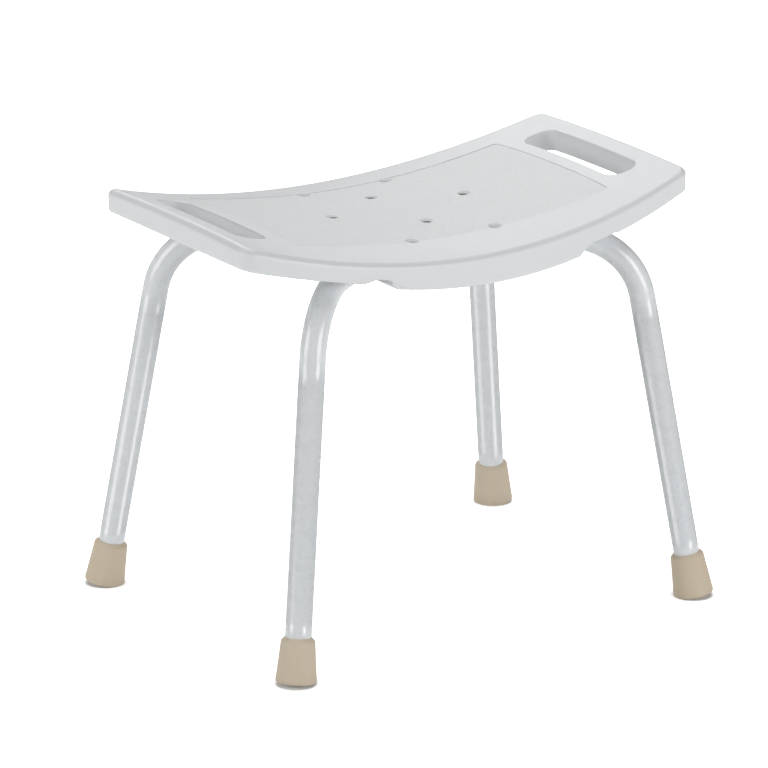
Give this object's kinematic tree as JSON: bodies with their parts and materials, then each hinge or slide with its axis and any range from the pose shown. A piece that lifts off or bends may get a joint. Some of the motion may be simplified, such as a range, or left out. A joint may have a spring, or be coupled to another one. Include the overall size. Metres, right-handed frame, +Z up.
{
  "type": "shower chair",
  "caption": "Backless shower chair: a sagging white plastic seat with a hand slot at each end and drain holes, on splayed bent tube legs with rubber ferrules.",
  "frame": {"origin": "on the floor, under the middle of the seat", "axes": "+X along the seat's length, +Y to the back, +Z up"},
  "size_m": [0.5136, 0.3902, 0.4231],
  "materials": {
    "seat_plastic": "satin moulded",
    "white_powder_coat": "gloss powder coat",
    "beige_rubber": "moulded",
    "plug_plastic": "moulded",
    "zinc_steel": "zinc plated",
    "insert_brass": "turned"
  },
  "bodies": {
    "root": {"seat": "seat_plastic", "leg_front_left": "white_powder_coat", "ferrule_front_left": "beige_rubber", "ferrule_disc_front_left": "zinc_steel", "end_plug_front_left": "plug_plastic", "screws_front_left": "zinc_steel", "saddle_washers_front_left": "plug_plastic", "inserts_front_left": "insert_brass", "leg_front_right": "white_powder_coat", "ferrule_front_right": "beige_rubber", "ferrule_disc_front_right": "zinc_steel", "end_plug_front_right": "plug_plastic", "screws_front_right": "zinc_steel", "saddle_washers_front_right": "plug_plastic", "inserts_front_right": "insert_brass", "leg_back_left": "white_powder_coat", "ferrule_back_left": "beige_rubber", "ferrule_disc_back_left": "zinc_steel", "end_plug_back_left": "plug_plastic", "screws_back_left": "zinc_steel", "saddle_washers_back_left": "plug_plastic", "inserts_back_left": "insert_brass", "leg_back_right": "white_powder_coat", "ferrule_back_right": "beige_rubber", "ferrule_disc_back_right": "zinc_steel", "end_plug_back_right": "plug_plastic", "screws_back_right": "zinc_steel", "saddle_washers_back_right": "plug_plastic", "inserts_back_right": "insert_brass"}
  },
  "joints": []
}
